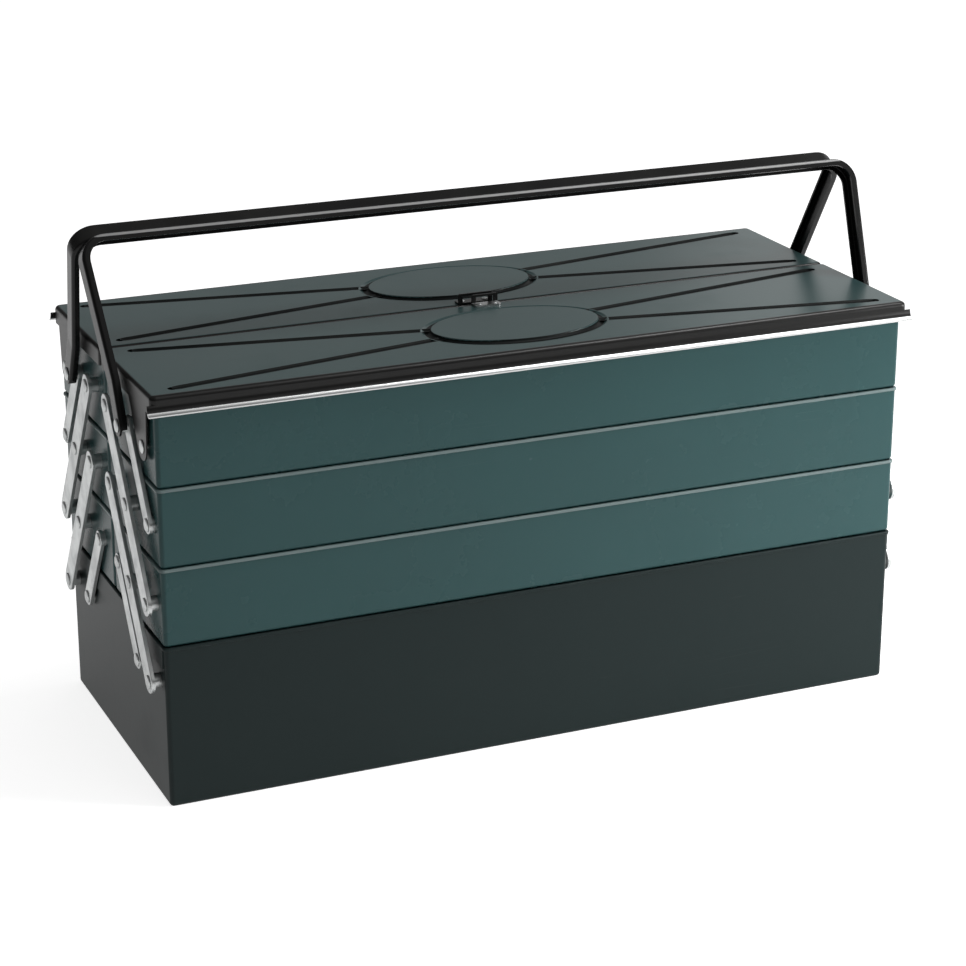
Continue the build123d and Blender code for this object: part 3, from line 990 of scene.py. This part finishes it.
@dataclass
class PressedLids:
    """The two lids, with the rounded shoulders of their pressed beads and ovals, and painted shade
    in the beads.
    """

    # Shares of the bead's half width and depth, down its flank and up to the raised oval.
    FLANK: ClassVar[Outline] = [(0.86, 0.2), (0.66, 0.58), (0.36, 0.88), (0.0, 1.0)]
    CLIMB: ClassVar[Outline] = [(0.36, 0.86), (0.72, 0.45), (0.95, -0.1)]
    # Share of the half width and of the skin where the flank starts, and at the strip's edge.
    BRINK: ClassVar[tuple[float, float]] = (0.98, 0.2)
    EDGE_LIFT: ClassVar[float] = 0.4
    # Degrees round the oval's edge, shares of an arm's length and the section left at its tip.
    EDGE_TURNS: ClassVar[range] = range(0, 91, 15)
    RUN_OUT: ClassVar[list[float]] = [0.0, 0.0015, 0.003, 0.0045, 0.006, 0.0075]
    ARM_STEPS: ClassVar[int] = 40
    ARM_TIP: ClassVar[float] = 0.02

    finishes: Finishes
    top: float = 278.5 * MM
    middle: float = 56.65 * MM
    oval_length: float = 118.0 * MM
    oval_width: float = 72.0 * MM
    oval_rise: float = 1.2 * MM
    oval_edge: float = 0.5 * MM
    bead_width: float = 6.0 * MM
    bead_depth: float = 1.15 * MM
    shoulder: float = 0.8 * MM
    skin: float = 0.03 * MM
    wall_start: int = 5
    arm_start: tuple[float, float] = (54.0 * MM, 10.0 * MM)
    arm_end: tuple[float, float] = (250.0 * MM, 43.5 * MM)
    samples: int = 160

    def hollow(self) -> Outline:
        """Half of the bead's section, from its shoulder to its bottom."""
        half = self.bead_width / 2
        return [
            (half + self.shoulder, self.skin * self.EDGE_LIFT),
            (half + self.shoulder / 3, self.skin),
            (half * self.BRINK[0], self.skin * self.BRINK[1]),
            *((half * wide, -deep * self.bead_depth) for wide, deep in self.FLANK),
        ]

    def section(self, beside_oval: bool) -> Outline:
        """The bead's whole section.

        Args:
            beside_oval: whether its inner side climbs to the raised oval.

        Returns:
            Offset and height of each point.
        """
        outer = self.hollow()
        if not beside_oval:
            return outer + [(-offset, height) for offset, height in outer[-2::-1]]
        half = self.bead_width / 2
        centre = half + self.oval_edge
        radius = self.oval_edge + self.skin
        arc = [
            (-centre + radius * cos(turn), self.oval_rise - self.oval_edge + radius * sin(turn))
            for turn in map(radians, self.EDGE_TURNS)
        ]
        climb = [(-half * wide, -deep * self.bead_depth) for wide, deep in self.CLIMB]
        inside = (-centre - 2 * self.shoulder, self.oval_rise + self.skin * self.EDGE_LIFT)
        return outer + climb + arc + [inside]

    def paths(self) -> Iterator[tuple[Outline, bool]]:
        """Middle lines of the beads: the ring round the oval and the four arms.

        Yields:
            The points of a line, anticlockwise for the ring, and whether it is the ring.
        """
        half = self.bead_width / 2
        yield [
            (
                (self.oval_length / 2 + half) * cos(2 * pi * step / self.samples),
                (self.oval_width / 2 + half) * sin(2 * pi * step / self.samples),
            )
            for step in range(self.samples)
        ], True
        for across in (-1, 1):
            for along in (-1, 1):
                start = (along * self.arm_start[0], across * self.arm_start[1])
                end = (along * self.arm_end[0], across * self.arm_end[1])
                yield [start, end], False

    def strip(self, shape: bmesh.types.BMesh, path: Outline, ring: bool, middle: float) -> None:
        """Sweep the bead's section along a line.

        Args:
            shape: the mesh that takes the strip.
            path: the line's points.
            ring: whether the line closes round the oval.
            middle: the lid's middle along Y.
        """
        section = self.section(ring)
        if not ring:
            path = self.tapered(path)
        count = len(path)
        rows = []
        for index, here in enumerate(path):
            before = path[(index - 1) % count] if ring or index else here
            after = path[(index + 1) % count] if ring or index < count - 1 else here
            run = (after[0] - before[0], after[1] - before[1])
            length = hypot(*run)
            normal = (run[1] / length, -run[0] / length)
            size = 1.0 if ring else self.run_out(path, index)
            places = [
                (
                    here[0] + normal[0] * offset * size,
                    middle + here[1] + normal[1] * offset * size,
                    self.top + height * (size if height < 0 else 1.0),
                )
                for offset, height in section
            ]
            rows.append([shape.verts.new(place) for place in places])
        pairs = list(zip(rows, rows[1:]))
        if ring:
            pairs.append((rows[-1], rows[0]))
        last = len(section) - 2
        for first, second in pairs:
            for step in range(last + 1):
                quad = (first[step], second[step], second[step + 1], first[step + 1])
                face = shape.faces.new(quad)
                face.smooth = True
                # Index 1 takes the dark bead colour, painted shade: all of each arm, and the ring
                # from down in its groove up over the oval's wall.
                face.material_index = int(not ring or self.wall_start <= step < last)

    def tapered(self, path: Outline) -> Outline:
        """Points along a straight arm, closer together at its run-outs."""
        (x0, y0), (x1, y1) = path
        even = [step / self.ARM_STEPS for step in range(1, self.ARM_STEPS)]
        shares = self.RUN_OUT + even + [1 - share for share in reversed(self.RUN_OUT)]
        return [(x0 + (x1 - x0) * share, y0 + (y1 - y0) * share) for share in shares]

    def run_out(self, path: Outline, index: int) -> float:
        """Share of the full section near the end of an arm.

        Args:
            path: the arm's points.
            index: the point.

        Returns:
            A share from nearly 0 at the end to 1.
        """
        here = path[index]
        gap = min(hypot(here[0] - end[0], here[1] - end[1]) for end in (path[0], path[-1]))
        share = min(1.0, gap / (self.bead_width / 2))
        return max(self.ARM_TIP, (1.0 - (1.0 - share) ** 2) ** 0.5)

    def build(self) -> None:
        """Dress both lids and add their bead strips."""
        for side, across in ((FRONT, -1), (REAR, 1)):
            node = f"lid_{side}"
            MeshTools.smooth_twin(node, node + "_enamelled", self.finishes.lid, node, "lid_paint")
            shape = bmesh.new()
            for path, ring in self.paths():
                self.strip(shape, path, ring, across * self.middle)
            bmesh.ops.recalc_face_normals(shape, faces=shape.faces)
            if sum(face.normal.z for face in shape.faces) < 0:
                bmesh.ops.reverse_faces(shape, faces=shape.faces)
            name = f"pressed_beads_{side}"
            beads = MeshTools.piece(name, MeshTools.closed(shape, name))
            beads.data.materials.append(self.finishes.lid_top)
            beads.data.materials.append(self.finishes.bead)
            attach(beads, node)
        log.info("lids dressed")


@dataclass
class PadlockEyes:
    """The two upright eyes where the lids meet."""

    SMALL: ClassVar[RivetStyle] = RivetStyle(
        shank=1.25 * MM,
        head=2.2 * MM,
        head_height=0.9 * MM,
        closing=2.2 * MM,
        closing_height=0.9 * MM,
        recess=0.8 * MM,
        steps=20,
    )

    finishes: Finishes

    def build(self) -> None:
        """Dress the eyes and set their small rivets."""
        coats = {
            FRONT: (self.finishes.eye, "zinc_plate"),
            REAR: (self.finishes.bow, "black_paint"),
        }
        rivets = Rivets(self.SMALL, axis=2)
        for side, (material, slot) in coats.items():
            node = f"padlock_eye_{side}"
            body = f"lid_{side}"
            MeshTools.smooth_twin(node, f"{node}_dressed", material, body, slot)
            plain = [f"padlock_eye_rivets_{side}"]
            rivets.build(f"eye_rivets_{side}", plain, body, self.finishes.zinc)
        log.info("padlock eyes dressed")


@dataclass
class CarryingBows:
    """The two bows that swing on the top trays."""

    finishes: Finishes

    def build(self) -> None:
        """Dress the bows."""
        for side in (FRONT, REAR):
            node = f"carrying_bow_{side}"
            MeshTools.smooth_twin(node, node + "_enamelled", self.finishes.bow, node, "bow_paint")
        log.info("bows dressed")


@dataclass
class Fasteners:
    """Every rivet of the linkage, the lids and the bows."""

    LID_STYLE: ClassVar[RivetStyle] = RivetStyle(head_height=1.2 * MM)

    finishes: Finishes

    def build(self) -> None:
        """Set the rivets body by body."""
        rivets, hinges = Rivets(), Rivets(self.LID_STYLE)
        zinc = self.finishes.zinc
        rivets.build("rivets_base", ["bottom_tray_rivets"], "base", zinc)
        for side in (FRONT, REAR):
            for tier in TIERS:
                node = f"{tier}_tray_rivets_{side}"
                rivets.build(f"rivets_{tier}_{side}", [node], f"{tier}_tray_{side}", zinc)
            hinge = f"lid_rivets_{side}"
            hinges.build(f"rivets_of_lid_{side}", [hinge], f"top_tray_{side}", zinc)


@dataclass(frozen=True)
class SoftBox:
    """A flat lamp: its place, width and height, power in watts, beam in radians and aim."""

    name: str
    place: Point
    size: tuple[float, float]
    power: float
    spread: float = pi
    aim: Point = (0.0, 0.0, 0.15)

    def hang(self) -> None:
        """Hang the lamp so that it faces its aim."""
        light = bpy.data.lights.new(self.name, "AREA")
        light.shape = "RECTANGLE"
        light.size, light.size_y = self.size
        light.energy = self.power
        light.spread = self.spread
        lamp = bpy.data.objects.new(self.name, light)
        bpy.context.scene.collection.objects.link(lamp)
        lamp.location = self.place
        lamp.visible_camera = False
        towards = Vector(self.aim) - Vector(self.place)
        lamp.rotation_euler = towards.to_track_quat("-Z", "Y").to_euler()


@dataclass
class Studio:
    """Floor, light and camera."""

    LAMPS: ClassVar[tuple[SoftBox, ...]] = (
        SoftBox("overhead", (1.15, -0.35, 2.25), (1.3, 0.35), 20.0),
        SoftBox(
            "front_right", (0.9, -0.6, 0.4), (0.35, 0.35), 2.6, radians(100), (0.2, -0.1, 0.12)
        ),
        SoftBox("rear", (1.1, 2.7, 1.15), (3.0, 0.8), 2.6),
        SoftBox("right_rear", (2.1, 2.3, 1.15), (1.3, 1.1), 3.0),
    )

    camera_place: Point = (-0.7002, -1.6191, 0.7795)
    camera_turn: Point = (1.2272, 0.0, -0.4089)
    lens: float = 100.1
    sensor: float = 36.0
    floor_size: float = 60.0
    floor_colour: Colour = (0.86, 0.86, 0.86)
    floor_lift: float = 0.8
    floor_gloss: float = 0.5
    horizon: float = 0.096
    zenith: float = 0.24
    sky_blend: tuple[float, float] = (0.3, 0.95)
    sun_power: float = 0.2
    sun_angle: float = radians(50)
    sun_turn: Point = (radians(32), radians(22), 0.0)

    def floor(self) -> None:
        """Lay a pale floor that keeps shadows and still shows white."""
        half = self.floor_size / 2
        mesh = bpy.data.meshes.new("floor")
        corners = [(-half, -half, 0.0), (half, -half, 0.0), (half, half, 0.0), (-half, half, 0.0)]
        mesh.from_pydata(corners, [], [(0, 1, 2, 3)])
        material = bpy.data.materials.new("floor")
        material.use_nodes = True
        graph = NodeGraph(material.node_tree)
        graph.tree.nodes.clear()
        paper = graph.node("ShaderNodeBsdfDiffuse", {"Color": self.floor_colour})
        path = graph.node("ShaderNodeLightPath").outputs
        seen, mirrored, through = (
            Signal(graph, path[f"Is {kind} Ray"]) for kind in ("Camera", "Glossy", "Transmission")
        )
        level = (seen * self.floor_lift).highest(mirrored.highest(through) * self.floor_gloss)
        glow = graph.node("ShaderNodeEmission", {"Strength": level})
        both = graph.node("ShaderNodeAddShader", {0: paper.outputs[0], 1: glow.outputs[0]})
        graph.node("ShaderNodeOutputMaterial", {"Surface": both.outputs[0]})
        mesh.materials.append(material)
        MeshTools.piece("floor", mesh)

    def world(self) -> None:
        """Set a sky that is dim at the horizon and lighter overhead, and that shows white."""
        world = bpy.data.worlds.new("studio")
        world.use_nodes = True
        graph = NodeGraph(world.node_tree)
        graph.tree.nodes.clear()
        direction = graph.node("ShaderNodeTexCoord").outputs["Generated"]
        rise = Signal(graph, graph.node("ShaderNodeSeparateXYZ", {0: direction}).outputs["Z"])
        level = self.horizon + rise.ramp(*self.sky_blend) * (self.zenith - self.horizon)
        shown = Signal(graph, graph.node("ShaderNodeLightPath").outputs["Is Camera Ray"])
        inputs = {"Color": (1.0, 1.0, 1.0), "Strength": level.highest(shown)}
        light = graph.node("ShaderNodeBackground", inputs)
        graph.node("ShaderNodeOutputWorld", {"Surface": light.outputs[0]})
        bpy.context.scene.world = world

    def sun(self) -> None:
        """Add the even light that makes the soft shadows."""
        light = bpy.data.lights.new("soft_sun", "SUN")
        light.energy = self.sun_power
        light.angle = self.sun_angle
        lamp = bpy.data.objects.new("soft_sun", light)
        bpy.context.scene.collection.objects.link(lamp)
        lamp.rotation_euler = self.sun_turn

    def camera(self) -> None:
        """Stand the camera where the photograph was taken from."""
        data = bpy.data.cameras.new("camera")
        data.sensor_width = self.sensor
        data.lens = self.lens
        camera = bpy.data.objects.new("camera", data)
        camera.location = self.camera_place
        camera.rotation_euler = self.camera_turn
        bpy.context.scene.collection.objects.link(camera)
        bpy.context.scene.camera = camera

    def build(self) -> None:
        """Set up the whole studio."""
        self.floor()
        self.world()
        self.sun()
        for lamp in self.LAMPS:
            lamp.hang()
        self.camera()
        bpy.context.scene.view_settings.view_transform = "Standard"
        log.info("studio set")


@dataclass
class Toolbox:
    """The whole toolbox."""

    finishes: Finishes

    def build(self) -> None:
        """Build and dress its sub-assemblies in order."""
        Trays(self.finishes).build()
        LinkBars(self.finishes).build()
        Fasteners(self.finishes).build()
        PressedLids(self.finishes).build()
        PadlockEyes(self.finishes).build()
        CarryingBows(self.finishes).build()


def main() -> None:
    """Build the studio and the toolbox, and log their progress."""
    logging.basicConfig(level=logging.INFO, format="%(name)s: %(message)s")
    Studio().build()
    Toolbox(Finishes.build()).build()


if __name__ == "__main__":
    main()
